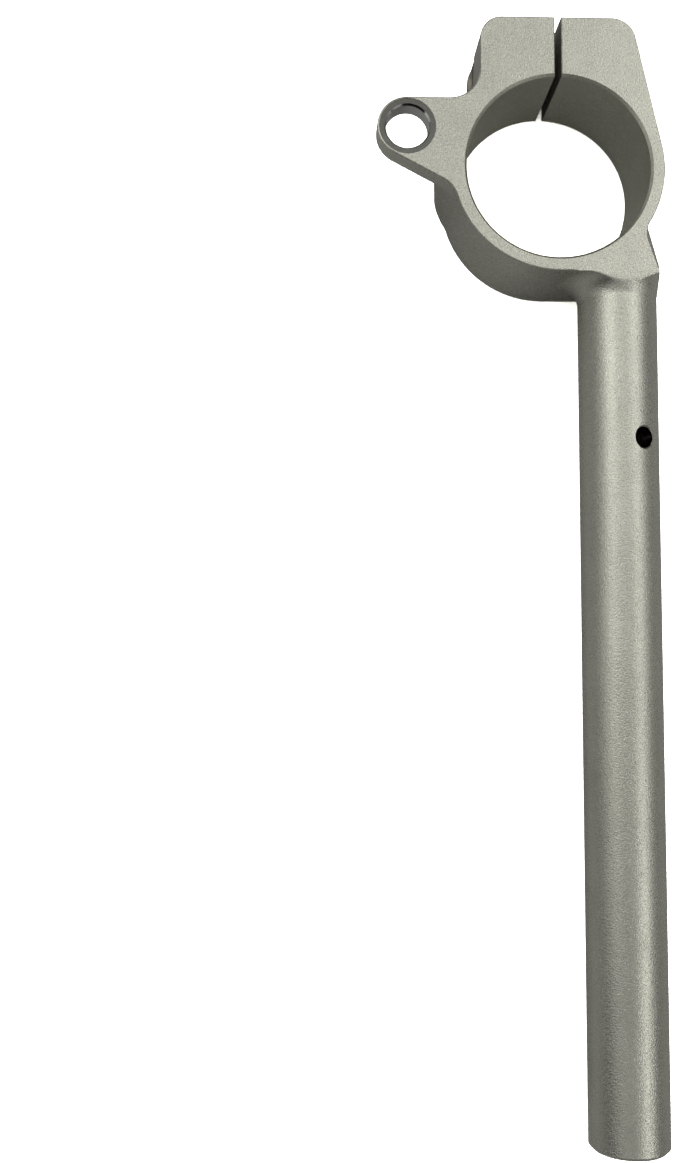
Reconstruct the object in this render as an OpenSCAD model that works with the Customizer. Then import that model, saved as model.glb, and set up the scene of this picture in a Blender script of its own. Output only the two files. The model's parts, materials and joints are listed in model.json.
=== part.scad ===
// Clip-on handlebar, right-hand side of the pair: fork clamp, lug and bar forged as one piece.
// The origin lies on the fork bore axis, level with the machined top face of the clamp.
// +Z runs up out of that face, +Y points to the pinch ears and the bar runs along -Y.

/* [Fork clamp] */
// Diameter of the bore that grips the fork tube
fork_bore_d = 51.5; // [45:0.5:52.5]
// Height of the clamp along the fork tube
clamp_h = 30; // [29:1:36]
// Outer radius of the clamp ring
ring_r = 29.4; // [29:0.1:31]
// Chamfer at both rims of the fork bore
bore_chamfer = 0.7; // [0.3:0.1:1.2]

/* [Pinch ears] */
// Width of the slit between the ears
slit_w = 1.9; // [1:0.1:3]
// Height of the ear tops above the bore axis
ear_top = 42.6; // [41:0.2:46]
// Distance from the slit to the lug-side ear face
ear_face_x = 21.6; // [20:0.2:24]
// Corner radius on the lug side
ear_lug_corner_r = 5.5; // [3:0.5:7]
// Corner radius on the bar side
ear_bar_corner_r = 6; // [3:0.5:8]
// Lean of the bar-side ear face from upright, in degrees
ear_lean = 12.6; // [8:0.2:16]

/* [Pinch bolt hole] */
// Height of the bolt axis above the bore axis, along the slit
bolt_y = 36; // [34.5:0.1:37]
// Depth of the bolt axis below the top face
bolt_depth = 21; // [12:0.5:21.5]
// Clearance hole in the lug-side ear
bolt_clear_d = 8.5; // [6.6:0.1:9]
// Tapping drill in the bar-side ear
bolt_tap_d = 6.8; // [5:0.1:7]
// Diameter of the seat cut for the bolt head
bolt_seat_d = 14; // [11:0.5:15]
// Depth of that seat at the ear face
bolt_seat_depth = 0.8; // [0.4:0.1:3]

/* [Lug] */
// Distance from the bore axis to the lug hole, across
lug_x = 42.25; // [40:0.25:46]
// Distance from the bore axis to the lug hole, towards the ears
lug_y = 10.8; // [8:0.2:12]
// Radius of the lug's round end
lug_r = 8.2; // [8.1:0.1:9]
// Thickness of the lug
lug_t = 6.5; // [4:0.5:10]
// Slope of the lug's lower edge, in degrees
lug_slope = 29.4; // [27:0.2:33]
// Diameter of the hole through the lug
lug_hole_d = 12; // [8:0.5:12]
// Chamfer at the rims of that hole
lug_hole_chamfer = 0.5; // [0.2:0.1:0.8]
// Diameter of the machined seat round the hole
lug_seat_d = 15.9; // [14:0.1:16]
// Depth of that seat
lug_seat_depth = 0.25; // [0.1:0.05:0.6]
// Fillet between the lug and the ear
lug_ear_fillet = 8.7; // [6:0.1:10]
// Fillet between the lug's lower edge and the ring
lug_ring_fillet = 8; // [5:0.5:10]
// Distance from the slit to the body's side below the lug
body_side_x = 31.8; // [31.2:0.1:33]
// Radius that turns this side in towards the ring
body_side_r = 11; // [9:0.5:12]

/* [Bar] */
// Outer diameter of the bar, the grip size
bar_d = 22.2; // [22:0.1:22.4]
// Distance from the fork bore axis to the bar axis, across
bar_x = 18.5; // [16:0.5:19]
// Depth of the bar axis below the top face
bar_depth = 12.2; // [12.2:0.1:16]
// Length of the bar beyond the foot
bar_len = 240; // [180:5:260]
// Chamfer at the bar's end
bar_end_chamfer = 1; // [0.5:0.1:1.5]
// Bore drilled up the bar from its end
bar_bore_d = 14; // [12:0.5:16]
// Depth of that bore
bar_bore_len = 215; // [100:5:220]

/* [Switch hole] */
// Diameter of the hole that locates the switch housing
switch_hole_d = 6; // [4:0.5:8]
// Distance of that hole from the foot
switch_hole_from_foot = 46.2; // [30:0.2:80]
// Turn of that hole from straight up towards the outer side, in degrees
switch_hole_turn = 25; // [0:1:60]
// Countersink at its rim
switch_hole_chamfer = 0.4; // [0.2:0.1:0.8]

/* [Foot] */
// Distance from the bore axis to the foot wall that carries the bar
foot_y = 29.5; // [29.5:0.1:32]
// Half width of the foot on the bar side, at that wall
foot_x = 27.7; // [27.5:0.1:30]
// Lean of the foot's outer side from upright, in degrees
foot_lean = 17.1; // [14:0.1:20]
// Fillet between the foot's outer side and the ring
foot_ring_fillet = 7; // [4:0.5:9]
// Radius of the fillet between the foot wall and the bar
root_fillet = 4; // [3:0.25:4.5]
// Radius of the collar that the fillet ends on
collar_r = 12.1; // [11.6:0.1:12.1]
// Length of the step from the collar down to the bar
collar_step = 0.8; // [0.4:0.1:1.5]

/* [Hidden] */
$fn = 96;
cut = 1;

// Place of the bar-side corner's centre, so its arc meets the leaning face and the ear top
ear_corner_y = ear_top - ear_bar_corner_r;
ear_corner_x = (ring_r - ear_bar_corner_r - ear_corner_y * sin(ear_lean)) / cos(ear_lean);

// Normal of the lug's lower edge, and that edge's distance from the bore axis
lug_normal = [-sin(lug_slope), -cos(lug_slope)];
lug_edge = -lug_x * lug_normal[0] + lug_y * lug_normal[1] + lug_r;

// Normal of the foot's outer side, and that side's distance from the bore axis
foot_normal = [cos(foot_lean), sin(foot_lean)];
foot_edge = foot_x * foot_normal[0] - foot_y * foot_normal[1];

// The body's side below the lug is straight down to this height, then turns in by the step
body_side_y = 2;
body_side_step = 1.5;

// The fillet starts a little inside the foot, so the foot wall meets it at a slight angle
fillet_sink = 0.5;
foot_end = foot_y + root_fillet - fillet_sink;
bar_r = bar_d / 2;
bar_end = foot_y + bar_len;

// The root of the bar fades into the ring as a cone under the top face
fade_start_y = 26;
fade_end_y = 10;
fade_end_r = 8;

function turned(v, side) = [-v[1] * side, v[0] * side];

// Centre of a fillet of radius r that touches the ring and a straight edge with this normal
function fillet_centre(normal, edge, r, side) =
    normal * (edge + r) + turned(normal, side) * sqrt(pow(ring_r + r, 2) - pow(edge + r, 2));

// Fills the corner between the ring and a straight edge with a concave arc
module ring_fillet(normal, edge, r, side) {
    centre = fillet_centre(normal, edge, r, side);
    difference() {
        polygon([[0, 0], centre - normal * r, centre, centre * ring_r / (ring_r + r)]);
        translate(centre) circle(r);
    }
}

module ears_outline() {
    polygon([
        [0, 0],
        [-ear_face_x, 0],
        [-ear_face_x, ear_top - ear_lug_corner_r],
        [-ear_face_x + ear_lug_corner_r, ear_top],
        [ear_corner_x, ear_top],
        [ear_corner_x + ear_bar_corner_r * cos(ear_lean), ear_corner_y + ear_bar_corner_r * sin(ear_lean)],
        [ring_r * cos(ear_lean), ring_r * sin(ear_lean)]
    ]);
    translate([-ear_face_x + ear_lug_corner_r, ear_top - ear_lug_corner_r]) circle(ear_lug_corner_r);
    translate([ear_corner_x, ear_corner_y]) circle(ear_bar_corner_r);
}

module lug_outline() {
    top_y = lug_y + lug_r;
    ring_reach = sqrt(pow(ring_r, 2) - pow(lug_edge, 2));
    translate([-lug_x, lug_y]) circle(lug_r);
    polygon([
        [0, 0],
        lug_normal * lug_edge + turned(lug_normal, -1) * ring_reach,
        [-lug_x, lug_y] + lug_normal * lug_r,
        [-lug_x, lug_y],
        [-lug_x, top_y],
        [-ear_face_x, top_y]
    ]);
    difference() {
        translate([-ear_face_x - lug_ear_fillet, top_y - cut]) square([lug_ear_fillet + cut, lug_ear_fillet + cut]);
        translate([-ear_face_x - lug_ear_fillet, top_y + lug_ear_fillet]) circle(lug_ear_fillet);
    }
    ring_fillet(lug_normal, lug_edge, lug_ring_fillet, -1);
}

module foot_outline() {
    ring_reach = sqrt(pow(ring_r, 2) - pow(foot_edge, 2));
    polygon([
        [0, 0],
        [0, -foot_y],
        [foot_x, -foot_y],
        foot_normal * foot_edge + turned(foot_normal, -1) * ring_reach
    ]);
    ring_fillet(foot_normal, foot_edge, foot_ring_fillet, -1);
}

module clamp_outline() {
    circle(ring_r);
    ears_outline();
    lug_outline();
    foot_outline();
}

// Limits the body below the lug: a straight side, rounded off towards the ring
module body_limit() {
    reach = ear_top + cut;
    translate([-body_side_x, body_side_y]) square([body_side_x + reach, reach]);
    translate([-body_side_x + body_side_r, body_side_y]) circle(body_side_r);
    translate([-body_side_x + body_side_step, -reach]) square([body_side_x + reach, reach + body_side_y]);
}

module clamp_body() {
    translate([0, 0, -lug_t]) linear_extrude(lug_t) clamp_outline();
    translate([0, 0, -clamp_h]) linear_extrude(clamp_h - lug_t + cut / 2) intersection() {
        clamp_outline();
        body_limit();
    }
}

// Puts what is drawn along +Z onto the bar's axis, running out towards the bar's end
module on_bar_axis() {
    translate([bar_x, 0, -bar_depth]) rotate([90, 0, 0]) children();
}

// Concave flare from the foot wall to the collar, cut level with the top face and the foot's corner
module root_flare() {
    intersection() {
        on_bar_axis() rotate_extrude() difference() {
            translate([0, foot_y - cut]) square([collar_r + root_fillet, foot_end - foot_y + cut]);
            translate([collar_r + root_fillet, foot_end]) circle(root_fillet);
        }
        translate([0, -foot_end - cut, -clamp_h]) cube([foot_x, foot_end, clamp_h]);
    }
}

module bar_solid() {
    on_bar_axis() {
        translate([0, 0, fade_end_y]) cylinder(h = fade_start_y - fade_end_y, r1 = fade_end_r, r2 = collar_r);
        translate([0, 0, fade_start_y]) cylinder(h = foot_end - fade_start_y, r = collar_r);
        translate([0, 0, foot_end]) cylinder(h = collar_step, r1 = collar_r, r2 = bar_r);
        translate([0, 0, foot_end]) cylinder(h = bar_end - bar_end_chamfer - foot_end, r = bar_r);
        translate([0, 0, bar_end - bar_end_chamfer])
            cylinder(h = bar_end_chamfer, r1 = bar_r, r2 = bar_r - bar_end_chamfer);
    }
}

// A round hole down from height 0, with a chamfered rim at the top and, if asked, at the bottom
module chamfered_hole(r, depth, chamfer, both) {
    translate([0, 0, -depth - cut]) cylinder(h = depth + 2 * cut, r = r);
    translate([0, 0, -chamfer]) cylinder(h = chamfer + cut, r1 = r, r2 = r + chamfer + cut);
    if (both)
        translate([0, 0, -depth - cut]) cylinder(h = chamfer + cut, r1 = r + chamfer + cut, r2 = r);
}

module lug_hole() {
    translate([-lug_x, lug_y, 0]) {
        translate([0, 0, -lug_seat_depth]) {
            cylinder(h = lug_seat_depth + cut, d = lug_seat_d);
            chamfered_hole(lug_hole_d / 2, lug_t - lug_seat_depth, lug_hole_chamfer, true);
        }
    }
}

// Clearance hole and head seat in the lug-side ear, tapping drill through the other ear
module bolt_hole() {
    reach = ear_face_x + 2 * cut;
    translate([0, bolt_y, -bolt_depth]) rotate([0, 90, 0]) {
        translate([0, 0, -reach]) cylinder(h = reach, d = bolt_clear_d);
        translate([0, 0, -reach]) cylinder(h = 2 * cut + bolt_seat_depth, d = bolt_seat_d);
        cylinder(h = ring_r, d = bolt_tap_d);
    }
}

// Bore up the bar with the drill's cone at its blind end
module bar_bore() {
    drill_cone = bar_bore_d / 2 / tan(59);
    on_bar_axis() {
        translate([0, 0, bar_end - bar_bore_len]) cylinder(h = bar_bore_len + cut, d = bar_bore_d);
        translate([0, 0, bar_end - bar_bore_len - drill_cone]) cylinder(h = drill_cone, r1 = 0, d2 = bar_bore_d);
        translate([0, 0, bar_end - bar_end_chamfer])
            cylinder(h = bar_end_chamfer + cut, d1 = bar_bore_d, d2 = bar_bore_d + 2 * (bar_end_chamfer + cut));
    }
}

module switch_hole() {
    translate([bar_x, -foot_y - switch_hole_from_foot, -bar_depth]) rotate([0, switch_hole_turn, 0]) {
        cylinder(h = bar_r + cut, d = switch_hole_d);
        translate([0, 0, bar_r - switch_hole_chamfer])
            cylinder(h = switch_hole_chamfer + cut, d1 = switch_hole_d,
                d2 = switch_hole_d + 2 * (switch_hole_chamfer + cut));
    }
}

module clip_on_bar() {
    color("silver") difference() {
        union() {
            clamp_body();
            root_flare();
            bar_solid();
        }
        chamfered_hole(fork_bore_d / 2, clamp_h, bore_chamfer, true);
        translate([-slit_w / 2, 0, -clamp_h - cut]) cube([slit_w, ear_top + cut, clamp_h + 2 * cut]);
        lug_hole();
        bolt_hole();
        bar_bore();
        switch_hole();
    }
}

clip_on_bar();
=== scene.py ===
# Clip-on handlebar: the forged clamp and bar, its finish, and the studio round it.
import json
import math
import bmesh
import bpy
import numpy as np
from mathutils import Matrix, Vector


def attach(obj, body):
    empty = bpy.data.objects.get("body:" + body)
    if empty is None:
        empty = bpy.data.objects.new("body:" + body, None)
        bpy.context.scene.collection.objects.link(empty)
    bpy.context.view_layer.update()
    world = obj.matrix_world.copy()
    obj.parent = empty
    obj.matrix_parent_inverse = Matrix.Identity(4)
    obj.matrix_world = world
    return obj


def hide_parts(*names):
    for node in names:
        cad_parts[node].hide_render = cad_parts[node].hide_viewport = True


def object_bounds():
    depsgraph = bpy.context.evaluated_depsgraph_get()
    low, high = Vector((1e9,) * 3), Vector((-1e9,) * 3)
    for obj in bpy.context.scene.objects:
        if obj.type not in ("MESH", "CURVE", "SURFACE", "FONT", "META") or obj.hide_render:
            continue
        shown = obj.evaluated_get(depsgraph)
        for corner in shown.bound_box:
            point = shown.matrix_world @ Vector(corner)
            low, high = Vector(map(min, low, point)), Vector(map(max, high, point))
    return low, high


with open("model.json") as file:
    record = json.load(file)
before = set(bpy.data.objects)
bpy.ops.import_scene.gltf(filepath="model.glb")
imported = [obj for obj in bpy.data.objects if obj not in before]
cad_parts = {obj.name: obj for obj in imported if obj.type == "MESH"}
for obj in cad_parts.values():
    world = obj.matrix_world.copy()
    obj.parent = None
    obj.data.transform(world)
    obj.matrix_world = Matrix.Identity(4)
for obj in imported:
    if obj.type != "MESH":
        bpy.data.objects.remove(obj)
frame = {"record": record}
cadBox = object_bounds()
print("stage: frame loaded")

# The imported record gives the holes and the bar: their places in millimetres, and their radii.
mounts = {m["name"]: m for m in frame["record"]["mounts"]}
places = {name: np.array(m["pos_m"]) * 1000 for name, m in mounts.items()}
radii = {name: m["dims"].get("r_mm") for name, m in mounts.items()}

# Clamp, lug and foot, in millimetres and degrees. The outline is seen down the fork bore, its axis at 0, 0.
clamp = {
    "height": -cadBox[0][2] * 1000,
    "weld": 0.002,         # points closer than this become one
    "past": 1.0,           # how far a cut runs on past the face it opens into
    "ringRadius": 29.7,
    "boreChamfer": 0.7,
    "edgeRound": 0.5,      # round along the outline's top and bottom edges
    "slitWidth": 1.9,
    "slitBreak": 0.25,     # edge break where the slit opens into the top face
    "slitFrom": 24.0,      # the slit's faces all lie beyond this
    "earTop": 42.9,
    "earSide": 21.8,
    "earLugRound": 6.0,
    "earBarRound": 7.0,
    "earLean": 12.6,
    "lugRadius": 8.5,
    "lugThick": 6.5,
    "lugSlope": 28.0,
    "lugEarFillet": 8.7,
    "lugRingFillet": 8.0,
    "sideX": 31.8,         # side of the body below the lug
    "sideTurn": 22.8,
    "sideRound": 12.0,
    "reliefReach": (70.0, 24.0),   # how far the cut under the lug reaches towards -X and +Y
    "footY": 29.7,
    "footX": 27.7,
    "footLean": 19.0,
    "footRound": 0.5,
    "footFillet": 7.0,
    "tongueStart": 3.5,    # where the edge round of the foot wall runs out under the tongue
    "dip": 0.02,           # how far a fillet's arc dips into the ring
}

# Bar and its root, in millimetres; distances along the bar are counted from the fork bore's axis.
bar = {
    "end": -cadBox[0][1] * 1000,
    "endChamfer": 1.0,
    "boreDepth": 215.0,
    "drillAngle": 59.0,
    "rootRadius": 12.1,
    "fadeRadius": 8.0,
    "fadeFrom": 10.0,
    "fadeTo": 26.0,
    "taperFrom": 27.7,
    "taperTo": 34.7,
    "flareRadius": 6.5,
    "flareEnd": 36.1,
    "softness": 0.35,      # how gently the flare meets the planes that cut it
    "columns": 320,
    "closeRows": 5.0,      # the rows lie closer together this far to both sides of the switch hole
    "switchChamfer": 0.4,
}

# Holes of the clamp, in millimetres.
holes = {
    "lugChamfer": 0.5,
    "lugSeatRadius": 7.95,
    "lugSeatDepth": 0.25,
    "boltSeatRadius": 7.0,
    "boltSeatDepth": 1.0,
    "threadMajor": 4.0,
    "threadPitch": 1.25,
}


def unit(angle):
    # Unit vectors at angles in degrees: (cos a, sin a).
    a = np.radians(angle)
    return np.stack([np.cos(a), np.sin(a)], -1)


def arc(centre, radius, start, stop, step=0.7):
    # Points centre + radius * (cos a, sin a), a from start to stop. The normals leave the metal: away from
    # the centre where the arc runs anticlockwise, towards it where it runs clockwise.
    count = max(int(np.ceil(np.radians(abs(stop - start)) * radius / step)), 8)
    way = unit(np.linspace(start, stop, count + 1))
    return np.array(centre) + radius * way, way * np.sign(stop - start)


def line(start, stop, step=0.3):
    # Points start + t * (stop - start), t from 0 to 1, with the normal a quarter turn to the right.
    start, stop = np.array(start, float), np.array(stop, float)
    count = int(np.linalg.norm(stop - start) / step)
    t = np.linspace(0, 1, count + 1)[:, None]
    way = (stop - start) / np.linalg.norm(stop - start)
    return start + t * (stop - start), np.repeat([[way[1], -way[0]]], count + 1, 0)


def angleOf(v):
    # Angle of a vector in degrees, from +X towards +Y: atan2(y, x).
    return math.degrees(math.atan2(v[1], v[0]))


def ringFillet(angle, edge, radius):
    # Arc tangent to the straight edge (normal at this angle, this far from the bore's axis) and to the ring.
    # Its centre lies at edge + radius along the normal, and clockwise from it at
    # sqrt((ringRadius + radius - dip)^2 - (edge + radius)^2).
    normal = unit(angle)
    along = math.sqrt((clamp["ringRadius"] + radius - clamp["dip"]) ** 2 - (edge + radius) ** 2)
    centre = normal * (edge + radius) + np.array([normal[1], -normal[0]]) * along
    return centre, angleOf(centre)


def clampOutline():
    # The closed outline at the top face, anticlockwise: arcs by formula, and straight stretches between them.
    c = clamp
    r = c["ringRadius"]
    lean = c["footLean"]
    footEdge = c["footX"] * unit(lean)[0] - c["footY"] * unit(lean)[1]
    cornerY = c["footRound"] - c["footY"]
    cornerX = (footEdge - c["footRound"] - cornerY * unit(lean)[1]) / unit(lean)[0]
    footCentre, footAngle = ringFillet(lean, footEdge, c["footFillet"])
    barRound = c["earBarRound"]
    earY = c["earTop"] - barRound
    earX = (r - barRound - earY * unit(c["earLean"])[1]) / unit(c["earLean"])[0]
    lugRound = c["earLugRound"]
    lug = places["lug_hole"][:2]
    lugTurn = 270 - c["lugSlope"]
    lugEdge = float(lug @ unit(lugTurn)) + c["lugRadius"]
    lugCentre, lugAngle = ringFillet(lugTurn, lugEdge, c["lugRingFillet"])
    earFillet = (-c["earSide"] - c["lugEarFillet"], lug[1] + c["lugRadius"] + c["lugEarFillet"])
    parts = [
        arc((0, 0), r, lugAngle % 360, 270),
        line((0.3, -c["footY"]), (cornerX - 0.1, -c["footY"])),
        arc((cornerX, cornerY), c["footRound"], -90, lean),
        arc(footCentre, c["footFillet"], lean + 180, footAngle + 180),
        arc((0, 0), r, footAngle, c["earLean"]),
        arc((earX, earY), barRound, c["earLean"], 90),
        arc((lugRound - c["earSide"], c["earTop"] - lugRound), lugRound, 90, 180),
        arc(earFillet, c["lugEarFillet"], 0, -90),
        arc(lug, c["lugRadius"], 90, lugTurn),
        arc(lugCentre, c["lugRingFillet"], lugTurn - 180, lugAngle + 180),
    ]
    points = np.vstack([p for p, n in parts])
    normals = np.vstack([n for p, n in parts])
    apart = np.linalg.norm(points - np.roll(points, 1, 0), axis=1) > 0.05
    return points[apart], normals[apart]


def gridFaces(rows, columns):
    # Quads of a grid that is closed round its columns: corner (i, j) is vertex i * columns + j.
    i, j = np.meshgrid(np.arange(rows - 1), np.arange(columns), indexing="ij")
    k = (j + 1) % columns
    low, high = i * columns, (i + 1) * columns
    return np.stack([low + j, low + k, high + k, high + j], -1).reshape(-1, 4)


def closedTube(name, grid):
    # Mesh of a grid of points (rows, columns, 3), closed round its columns and with a flat cap at both ends.
    rows, columns = grid.shape[:2]
    last = (rows - 1) * columns
    faces = gridFaces(rows, columns).tolist()
    faces.append(list(range(columns))[::-1])
    faces.append([last + j for j in range(columns)])
    mesh = bpy.data.meshes.new(name)
    mesh.from_pydata(grid.reshape(-1, 3).tolist(), [], faces)
    tidy = bmesh.new()
    tidy.from_mesh(mesh)
    bmesh.ops.remove_doubles(tidy, verts=tidy.verts, dist=clamp["weld"])
    bmesh.ops.recalc_face_normals(tidy, faces=tidy.faces)
    tidy.to_mesh(mesh)
    tidy.free()
    piece = bpy.data.objects.new(name, mesh)
    bpy.context.scene.collection.objects.link(piece)
    return piece


def smoothStep(x, low, high):
    # 0 below low, 1 above high, and t * t * (3 - 2 * t) between them, where t is the share of the way.
    t = np.clip((x - low) / (high - low), 0, 1)
    return t * t * (3 - 2 * t)


def clampBlock():
    # The outline carried down the height. In the rounds at top and bottom a row at angle a lies
    # round * (1 - sin a) inside the outline and round * (1 - cos a) from the face.
    points, normals = clampOutline()
    onFoot = (points[:, 1] < 0.01 - clamp["footY"]) & (points[:, 0] > 0)
    fade = smoothStep(points[:, 0], clamp["tongueStart"], clamp["tongueStart"] + 2) * onFoot
    size = (clamp["edgeRound"] * (1 - fade))[:, None]
    bottomSize = np.full_like(size, clamp["edgeRound"])
    rows = []
    for a in np.radians(np.linspace(0, 90, 6)):
        rows.append(np.hstack([points - normals * size * (1 - math.sin(a)), -size * (1 - math.cos(a))]))
    for a in np.radians(np.linspace(90, 0, 6)):
        low = -clamp["height"] + bottomSize * (1 - math.cos(a))
        rows.append(np.hstack([points - normals * bottomSize * (1 - math.sin(a)), low]))
    return closedTube("forgedClamp", np.array(rows))


def barTube():
    # Radius round the bar's axis at distance s and turn t: the turned profile, or the concave flare where
    # that is larger. The flare is R + f - sqrt(f^2 - (end - s)^2). Two planes cut it, the top face at
    # depth / cos t and the foot's side at width / sin t, with a soft minimum
    # 0.5 * (a + b - sqrt((a - b)^2 + k^2)).
    b = bar
    axisX, _, axisZ = places["grip_bar"]
    outer = radii["grip_bar"]
    profile = np.array([(b["fadeFrom"], b["fadeRadius"]), (b["fadeTo"], b["rootRadius"]),
                        (b["taperFrom"], b["rootRadius"]), (b["taperTo"], outer), (b["end"], outer)])
    before = -places["switch_hole"][1] - b["closeRows"]
    after = -places["switch_hole"][1] + b["closeRows"]
    # Stretches of the bar: where each begins and ends, and its number of rows.
    stretches = ((b["fadeFrom"], b["fadeTo"], 5), (b["taperFrom"], b["flareEnd"], 56),
                 (b["flareEnd"], before, 12), (before, after, 26), (after, b["end"] - b["endChamfer"], 60))
    s = np.unique(np.concatenate([np.linspace(*stretch) for stretch in stretches]))
    t = np.linspace(0, 2 * np.pi, b["columns"], endpoint=False)
    turned = np.interp(s, profile[:, 0], profile[:, 1])[:, None]
    f = b["flareRadius"]
    reach = np.clip(b["flareEnd"] - s, 0, f)
    flare = (outer + f - np.sqrt(f * f - reach ** 2))[:, None]
    flare = np.where(s[:, None] < b["taperFrom"] + 0.9, 0, flare) * np.ones(len(t))
    top = -axisZ - 0.01
    side = clamp["footX"] - axisX
    for depth, across in ((top, np.cos(t)), (side, np.sin(t))):
        plane = np.where(across > 0.1, depth / np.maximum(across, 0.1), 100)
        flare = 0.5 * (flare + plane - np.sqrt((flare - plane) ** 2 + b["softness"] ** 2))
    radius = np.maximum(turned, flare)
    end, chamfer, bore = b["end"], b["endChamfer"], radii["bar_end_bore"]
    foot = end - b["boreDepth"]
    tip = foot - bore / math.tan(math.radians(b["drillAngle"]))
    inner = np.array([(end, outer - chamfer), (end, bore + chamfer), (end - chamfer, bore), (foot, bore),
                      (tip, 0.05)])
    s = np.concatenate([s, inner[:, 0]])
    radius = np.vstack([radius, inner[:, 1:] * np.ones(len(t))])
    along = -s[:, None] * np.ones(len(t))
    grid = np.stack([axisX + radius * np.sin(t), along, axisZ + radius * np.cos(t)], -1)
    return closedTube("bar", grid)


def cutter(name, profile, centre, axis, columns=96):
    # A cutter turned about an axis: centre + along * axis + radius * (cos t * across + sin t * other), where
    # the profile holds the pairs of along and radius.
    profile = np.array(profile, float)
    axis = np.array(axis, float) / np.linalg.norm(axis)
    across = np.cross(axis, (0.0, 1.0, 0.0) if abs(axis[1]) < 0.9 else (1.0, 0.0, 0.0))
    across = across / np.linalg.norm(across)
    other = np.cross(axis, across)
    t = np.linspace(0, 2 * np.pi, columns, endpoint=False)[:, None]
    ring = np.cos(t) * across + np.sin(t) * other
    grid = np.array(centre) + profile[:, 0, None, None] * axis + profile[:, 1, None, None] * ring
    return closedTube(name, grid)


def threadCutter():
    # Radius minor + (major - minor) * w, where w is a triangle wave of x / pitch - turn / 360 degrees.
    h = holes
    minor = radii["pinch_bolt_thread"]
    x = np.arange(0.2, clamp["ringRadius"], h["threadPitch"] / 10)[:, None]
    t = np.linspace(0, 2 * np.pi, 64, endpoint=False)
    wave = 1 - np.abs(2 * ((x / h["threadPitch"] - t / (2 * np.pi)) % 1) - 1)
    radius = minor + (h["threadMajor"] - minor) * wave
    _, y, z = places["pinch_bolt_thread"]
    grid = np.stack([x * np.ones(len(t)), y + radius * np.cos(t), z + radius * np.sin(t)], -1)
    return closedTube("thread", grid)


def prism(name, outline, low, high, upright):
    # An outline carried straight from low to high: along Z where upright, else along Y, with the outline in X
    # and Z.
    outline = np.array(outline, float)
    rows = []
    for level in (low, high):
        flat = np.full((len(outline), 1), level)
        parts = [outline, flat] if upright else [outline[:, :1], flat, outline[:, 1:]]
        rows.append(np.hstack(parts))
    return closedTube(name, np.array(rows))


def combine(piece, tool, how):
    # Joins the tool to the piece, or cuts it out, and keeps the mesh that results.
    step = piece.modifiers.new(how, "BOOLEAN")
    step.operation = how
    step.solver = "EXACT"
    step.object = tool
    graph = bpy.context.evaluated_depsgraph_get()
    result = bpy.data.meshes.new_from_object(piece.evaluated_get(graph))
    piece.modifiers.clear()
    piece.data = result
    bpy.data.objects.remove(tool)


def lugRelief():
    # What is cut away below the lug: outside the body's side, its arc and the slanted stretch onto the ring.
    # The arc's centre lies where the slanted stretch is tangent to it and to the ring:
    # centre . unit(turn) + sideRound = ringRadius + dip.
    c = clamp
    turn = 180 + c["sideTurn"]
    centreX = c["sideRound"] - c["sideX"]
    edge = c["ringRadius"] + c["dip"]
    centreY = (edge - c["sideRound"] - centreX * unit(turn)[0]) / unit(turn)[1]
    side, _ = arc((centreX, centreY), c["sideRound"], 180, turn)
    slant = edge * unit(turn) + 20 * unit(turn + 90)
    far, back = c["reliefReach"]
    outline = np.vstack([[(-c["sideX"], back)], side, [slant], [(-far, slant[1]), (-far, back)]])
    return prism("relief", outline, -c["height"] - 2 * c["past"], -c["lugThick"], True)


def buildForging():
    # The clamp's block less the relief below the lug, joined to the bar, then bored, slit, drilled and
    # threaded. It is made in millimetres and scaled to metres.
    c, h = clamp, holes
    past = c["past"]
    piece = clampBlock()
    combine(piece, lugRelief(), "DIFFERENCE")
    combine(piece, barTube(), "UNION")
    r, ch, bottom = radii["fork_clamp"], c["boreChamfer"], -c["height"]
    bore = [(past, r + ch + past), (-ch, r), (bottom + ch, r), (bottom - past, r + ch + past)]
    combine(piece, cutter("bore", bore, (0, 0, 0), (0, 0, 1), 224), "DIFFERENCE")
    half, brk = c["slitWidth"] / 2, c["slitBreak"]
    slit = [(-half - brk - past, past), (-half, -brk), (-half, bottom - past), (half, bottom - past),
            (half, -brk), (half + brk + past, past)]
    combine(piece, prism("slit", slit, 5, c["earTop"] + 2 * past, False), "DIFFERENCE")
    depth, r, ch, low = h["lugSeatDepth"], radii["lug_hole"], h["lugChamfer"], -c["lugThick"]
    seat = h["lugSeatRadius"]
    lug = [(past, seat), (-depth, seat), (-depth, r + ch), (-depth - ch, r), (low + ch, r),
           (low - past, r + ch + past)]
    combine(piece, cutter("lugHole", lug, (*places["lug_hole"][:2], 0), (0, 0, 1)), "DIFFERENCE")
    face, seat, shank = -c["earSide"], h["boltSeatRadius"], radii["pinch_bolt_clearance"]
    floor = face + h["boltSeatDepth"]
    bolt = [(face - 3 * past, seat), (floor, seat), (floor, shank), (0, shank)]
    boltPlace = (0, *places["pinch_bolt_clearance"][1:])
    combine(piece, cutter("boltHole", bolt, boltPlace, (1, 0, 0), 64), "DIFFERENCE")
    combine(piece, threadCutter(), "DIFFERENCE")
    top, r, ch = radii["grip_bar"], radii["switch_hole"], bar["switchChamfer"]
    centre = (places["grip_bar"][0], places["switch_hole"][1], places["grip_bar"][2])
    switch = [(0, r), (top - ch, r), (top + past, r + ch + past)]
    combine(piece, cutter("switchHole", switch, centre, mounts["switch_hole"]["axis"], 64), "DIFFERENCE")
    piece.data.transform(Matrix.Scale(0.001, 4))
    return piece


forging = buildForging()
print("stage: forging built,", len(forging.data.polygons), "faces")


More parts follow.
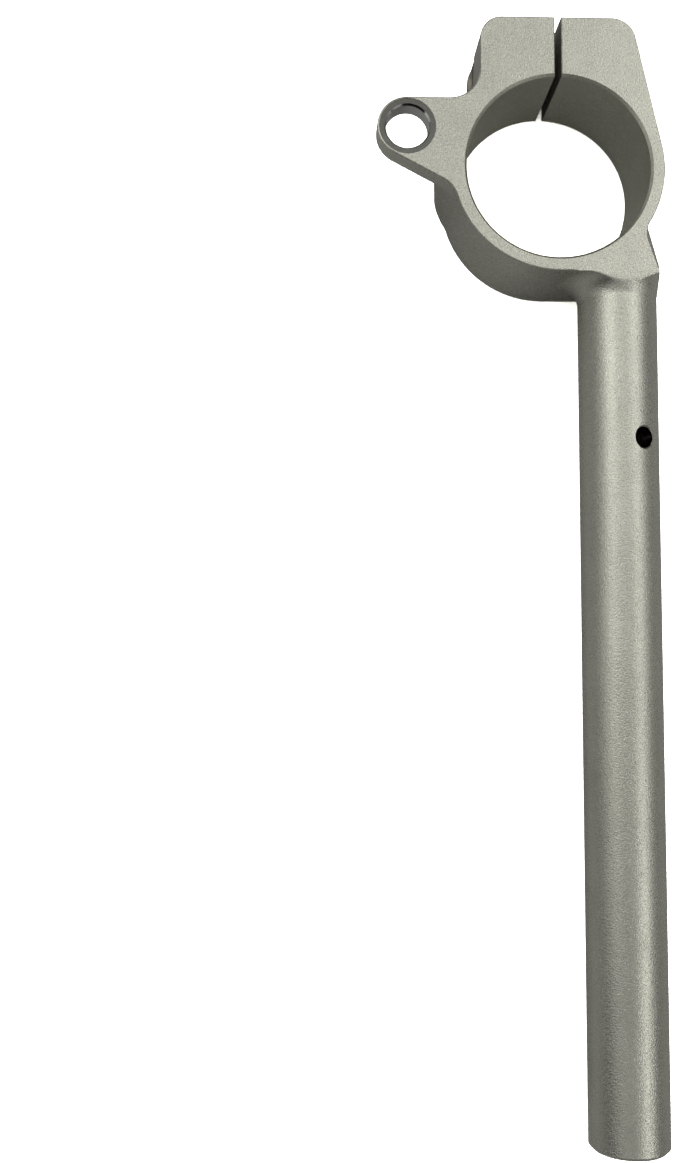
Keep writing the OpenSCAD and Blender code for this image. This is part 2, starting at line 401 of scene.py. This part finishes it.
# Shader maths: wraps an output socket, so that an expression on values adds its own Math nodes.
class Sig:
    def __init__(self, tree, socket):
        self.tree = tree
        self.socket = socket

    def math(self, operation, *values):
        return addNode(self.tree, "ShaderNodeMath", {"operation": operation}, values)

    def __add__(self, other):
        return self.math("ADD", self, other)

    def __radd__(self, other):
        return self.math("ADD", other, self)

    def __sub__(self, other):
        return self.math("SUBTRACT", self, other)

    def __rsub__(self, other):
        return self.math("SUBTRACT", other, self)

    def __mul__(self, other):
        return self.math("MULTIPLY", self, other)

    def __rmul__(self, other):
        return self.math("MULTIPLY", other, self)


def addNode(tree, kind, settings, inputs, output=0):
    # One node of any kind: its settings first, then the values or links of its sockets, by place or by name.
    node = tree.nodes.new(kind)
    for name, value in settings.items():
        setattr(node, name, value)
    pairs = inputs.items() if isinstance(inputs, dict) else enumerate(inputs)
    for key, value in pairs:
        if isinstance(value, Sig):
            tree.links.new(value.socket, node.inputs[key])
        else:
            node.inputs[key].default_value = value
    return Sig(tree, node.outputs[output])


# Finishes of the forging: tints are linear colours, lengths are in metres. The grain is the blasted surface,
# the cloud a slow change of tone over it, and the lines are the tool's marks along the stated axis.
finishes = {
    "blastedSkin": {"tint": (0.69, 0.692, 0.595), "contrast": 0.5, "roughness": 0.28, "grain": 0.00038,
                    "bump": 0.00015, "lines": 0.0, "axis": 2},
    "boredWall": {"tint": (0.64, 0.642, 0.56), "contrast": 0.4, "roughness": 0.42, "grain": 0.0005,
                  "bump": 0.000015, "lines": 0.00001, "axis": 2},
    "sawnSlit": {"tint": (0.42, 0.41, 0.37), "contrast": 0.4, "roughness": 0.5, "grain": 0.0006,
                 "bump": 0.00002, "lines": 0.00002, "axis": 2},
    "lugSeat": {"tint": (0.30, 0.30, 0.275), "contrast": 0.15, "roughness": 0.2, "grain": 0.0009,
                "bump": 0.000004, "lines": 0.0, "axis": 2},
    "polishedHole": {"tint": (0.72, 0.72, 0.68), "contrast": 0.2, "roughness": 0.14, "grain": 0.0009,
                     "bump": 0.000006, "lines": 0.000004, "axis": 2},
    "turnedBarEnd": {"tint": (0.60, 0.59, 0.53), "contrast": 0.2, "roughness": 0.3, "grain": 0.0006,
                     "bump": 0.00001, "lines": 0.000006, "axis": 1},
    "drilledWall": {"tint": (0.50, 0.49, 0.44), "contrast": 0.2, "roughness": 0.35, "grain": 0.0006,
                    "bump": 0.00001, "lines": 0.000006, "axis": 0},
}
cloudSize = 0.011
lineSize = 0.00025
roughSpread = 0.12     # how far the grain moves the roughness, from its darkest to its lightest
sharpAngle = 28.0      # an edge that turns more than this, in degrees, stays sharp


def metalFinish(name, look):
    # Tone: 0.5 + 2 * contrast * (0.8 * grain + 0.2 * cloud - 0.5), where grain is 0.8 * fine + 0.2 * coarse,
    # runs from half the tint to one and a half times the tint. The same grain sets the bump and moves the
    # roughness, and the tool's lines are a wave along one axis.
    mat = bpy.data.materials.new(name)
    mat.use_nodes = True
    tree = mat.node_tree
    tree.nodes.clear()
    place = addNode(tree, "ShaderNodeTexCoord", {}, {}, 3)
    noise = []
    for size, detail in ((look["grain"], 2.0), (look["grain"] * 2.4, 1.0), (cloudSize, 2.0)):
        noise.append(addNode(tree, "ShaderNodeTexNoise", {},
                             {"Vector": place, "Scale": 1 / size, "Detail": detail}))
    fine, coarse, cloud = noise
    grain = fine * 0.8 + coarse * 0.2
    tone = (grain * 0.8 + cloud * 0.2 - 0.5) * (look["contrast"] * 2) + 0.5
    dark = [0.5 * v for v in look["tint"]] + [1]
    light = [min(1.5 * v, 1) for v in look["tint"]] + [1]
    colour = addNode(tree, "ShaderNodeMix", {"data_type": "RGBA"}, {0: tone, 6: dark, 7: light}, 2)
    rough = look["roughness"] - roughSpread / 2 + grain * roughSpread
    normal = addNode(tree, "ShaderNodeBump", {}, {"Height": grain, "Distance": look["bump"], "Strength": 1.0})
    if look["lines"]:
        axis = "XYZ"[look["axis"]]
        marks = addNode(tree, "ShaderNodeTexWave", {"bands_direction": axis},
                        {"Vector": place, "Scale": 0.314 / lineSize, "Distortion": 1.5, "Detail": 1.0}, 1)
        normal = addNode(tree, "ShaderNodeBump", {},
                         {"Height": marks, "Distance": look["lines"], "Strength": 1.0, "Normal": normal})
    shader = addNode(tree, "ShaderNodeBsdfPrincipled", {},
                     {"Base Color": colour, "Metallic": 1.0, "Roughness": rough, "Normal": normal})
    out = tree.nodes.new("ShaderNodeOutputMaterial")
    tree.links.new(shader.socket, out.inputs["Surface"])
    return mat


def zones(centre, normal):
    # Which finish each face has, from its centre (millimetres) and normal: the index into the finishes above.
    # A face belongs to a hole where its distance to the hole's axis is under the hole's radius and a slack.
    slack, slightSlack = 0.05, 0.01
    x, y, z = centre.T
    names = list(finishes)
    zone = np.zeros(len(x), int)
    out = np.hypot(x, y)
    inward = -(x * normal[:, 0] + y * normal[:, 1]) / np.maximum(out, 1)
    steep = np.abs(normal) > 0.9
    boreEdge = radii["fork_clamp"] + clamp["boreChamfer"] + slack
    zone[(out < boreEdge) & (inward > 0.3)] = names.index("boredWall")
    inSlit = (np.abs(x) < clamp["slitWidth"] / 2 + clamp["slitBreak"]) & (y > clamp["slitFrom"])
    zone[inSlit & steep[:, 0]] = names.index("sawnSlit")
    fromLug = np.hypot(x - places["lug_hole"][0], y - places["lug_hole"][1])
    inLug = (fromLug < holes["lugSeatRadius"] + slightSlack) & (z > -clamp["lugThick"] - slightSlack)
    zone[inLug & (normal[:, 2] > 0.9) & (z < -0.1)] = names.index("lugSeat")
    inLugHole = inLug & (fromLug < holes["lugSeatRadius"] - 0.5)
    zone[inLugHole & (np.abs(normal[:, 2]) < 0.9)] = names.index("polishedHole")
    for name in ("pinch_bolt_clearance", "pinch_bolt_thread"):
        fromBolt = np.hypot(y - places[name][1], z - places[name][2])
        inBoltHole = fromBolt < holes["boltSeatRadius"] + slightSlack
        zone[inBoltHole & (np.abs(x) > clamp["slitWidth"] / 2 + slack)] = names.index("drilledWall")
    fromBar = np.hypot(x - places["grip_bar"][0], z - places["grip_bar"][2])
    zone[(fromBar < radii["grip_bar"] - slack) & (y < -bar["flareEnd"])] = names.index("drilledWall")
    middle = (places["grip_bar"][0], places["switch_hole"][1], places["grip_bar"][2])
    holeWay = np.array(mounts["switch_hole"]["axis"])
    arm = centre - middle
    alongHole = arm @ holeWay
    fromHole = np.linalg.norm(arm - alongHole[:, None] * holeWay, axis=1)
    inSwitchHole = (fromHole < radii["switch_hole"] + 0.02) & (alongHole > radii["bar_end_bore"] + 0.1)
    zone[inSwitchHole] = names.index("polishedHole")
    zone[y < -bar["end"] + bar["endChamfer"] + slightSlack] = names.index("turnedBarEnd")
    return zone


def finishForging(piece):
    # Gives each face its finish, and smooth shading up to the sharp edges.
    mesh = piece.data
    mesh.materials.clear()
    for name, look in finishes.items():
        mesh.materials.append(metalFinish(name, look))
    count = len(mesh.polygons)
    centre, normal = np.zeros(count * 3), np.zeros(count * 3)
    mesh.polygons.foreach_get("center", centre)
    mesh.polygons.foreach_get("normal", normal)
    zone = zones(centre.reshape(-1, 3) * 1000, normal.reshape(-1, 3))
    mesh.polygons.foreach_set("material_index", zone)
    mesh.polygons.foreach_set("use_smooth", np.ones(count, bool))
    mesh.set_sharp_from_angle(angle=math.radians(sharpAngle))
    weighted = piece.modifiers.new("weighted", "WEIGHTED_NORMAL")
    weighted.keep_sharp = True
    mesh.update()


finishForging(forging)
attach(forging, "root")
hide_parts("clip_on_bar")
print("stage: finishes on")

# Camera: fitted to the photograph's own perspective, in metres and degrees.
view = {
    "place": (-0.07186, -0.14063, 0.33932),
    "turn": (4.1368, -1.7109, 0.055),
    "lens": 39.072,
    "sensor": 36.0,
}
camData = bpy.data.cameras.new("camera")
camData.sensor_width = view["sensor"]
camData.sensor_fit = "AUTO"
camData.lens = view["lens"]
camData.clip_start = 0.01
cam = bpy.data.objects.new("camera", camData)
cam.location = view["place"]
cam.rotation_euler = [math.radians(a) for a in view["turn"]]
bpy.context.scene.collection.objects.link(cam)
bpy.context.scene.camera = cam

# Studio: soft boxes that all look at the part, a room of bands round them, and white paper under the part.
studio = {
    "softBoxes": [
        # name, turn from +X towards +Y, height above the horizon (degrees), width, length, radiance
        ("highBack", 90, 76, 0.50, 0.40, 1.02),
        ("leftBack", 150, 54, 0.30, 0.50, 1.95),
        ("rightBack", 24, 50, 0.30, 0.50, 1.45),
        ("frontRight", 330, 46, 0.24, 0.50, 1.80),
        ("farBack", 60, 42, 0.50, 0.50, 0.76),
        ("leftLow", 180, 30, 0.80, 0.70, 0.46),
        ("rightLow", 0, 30, 0.80, 0.70, 0.32),
        ("backRightLow", 45, 30, 0.80, 0.70, 0.49),
        ("backLeftLow", 135, 30, 0.80, 0.70, 0.60),
        ("frontRightLow", 315, 30, 0.80, 0.70, 0.28),
    ],
    "distance": 1.2,
    "aim": (0.0185, -0.10, 0.0),
    # bands of the room: from and to, as sines of their heights over the horizon, and brightness
    "room": ((-2, 0.25, 0.15), (0.6, 0.85, 0.38), (0.85, 2, 0.29)),
    "bandSoftness": 0.2,
    "paperSize": 6.0,
    "paperTone": 0.47,     # as the part sees it
    "paperLift": 8.0,      # as the camera sees it, so that only deep shadow shows on it
    "paperGap": 0.0002,    # the paper that the part sees lies this far below the one that the camera sees
    "lightTint": (1.0, 0.99, 0.96),
    "roomTint": (1.0, 0.995, 0.97, 1.0),
}


def softBox(name, turn, rise, width, length, radiance):
    # The box stands at distance * (cos turn cos rise, sin turn cos rise, sin rise) from what it looks at.
    turn, rise = math.radians(turn), math.radians(rise)
    z = np.array([math.cos(turn) * math.cos(rise), math.sin(turn) * math.cos(rise), math.sin(rise)])
    centre = np.array(studio["aim"]) + studio["distance"] * z
    data = bpy.data.lights.new(name, "AREA")
    data.shape = "RECTANGLE"
    data.size = width
    data.size_y = length
    data.energy = radiance * math.pi * width * length
    data.color = studio["lightTint"]
    box = bpy.data.objects.new(name, data)
    x = np.cross((0, 1, 0), z)
    x = x / np.linalg.norm(x)
    y = np.cross(z, x)
    box.matrix_world = Matrix(np.vstack([np.column_stack([x, y, z, centre]), [0, 0, 0, 1]]).tolist())
    bpy.context.scene.collection.objects.link(box)


def paper(name, height, tone):
    # A square sheet at this height with a dull finish of one tone.
    half = studio["paperSize"] / 2
    corners = [(-half, -half, height), (half, -half, height), (half, half, height), (-half, half, height)]
    mesh = bpy.data.meshes.new(name)
    mesh.from_pydata(corners, [], [(0, 1, 2, 3)])
    sheet = bpy.data.objects.new(name, mesh)
    bpy.context.scene.collection.objects.link(sheet)
    mat = bpy.data.materials.new(name)
    mat.use_nodes = True
    tree = mat.node_tree
    tree.nodes.clear()
    shader = addNode(tree, "ShaderNodeBsdfDiffuse", {}, {"Color": (tone, tone, tone, 1)})
    out = tree.nodes.new("ShaderNodeOutputMaterial")
    tree.links.new(shader.socket, out.inputs["Surface"])
    mesh.materials.append(mat)
    return sheet


def room():
    # Brightness by height h over the horizon, as a sine: the sum over the bands of
    # brightness * step(h - low) * (1 - step(h - high)), with smooth steps.
    world = bpy.data.worlds.new("room")
    world.use_nodes = True
    tree = world.node_tree
    tree.nodes.clear()
    direction = addNode(tree, "ShaderNodeTexCoord", {}, {}, 0)
    height = addNode(tree, "ShaderNodeSeparateXYZ", {}, {0: direction}, 2)

    def step(edge):
        half = studio["bandSoftness"] / 2
        return addNode(tree, "ShaderNodeMapRange", {"interpolation_type": "SMOOTHSTEP"},
                       {0: height, 1: edge - half, 2: edge + half})

    level = sum(step(low) * (1 - step(high)) * bright for low, high, bright in studio["room"])
    glow = addNode(tree, "ShaderNodeBackground", {}, {"Color": studio["roomTint"], "Strength": level})
    out = tree.nodes.new("ShaderNodeOutputWorld")
    tree.links.new(glow.socket, out.inputs["Surface"])
    bpy.context.scene.world = world


for row in studio["softBoxes"]:
    softBox(*row)
room()
lowest = cadBox[0][2]
seenPaper = paper("seenPaper", lowest, studio["paperLift"])
seenPaper.visible_glossy = False
seenPaper.visible_diffuse = False
seenPaper.visible_shadow = False
litPaper = paper("litPaper", lowest - studio["paperGap"], studio["paperTone"])
litPaper.visible_camera = False
bpy.context.scene.view_settings.view_transform = "Standard"
print("stage: studio built")
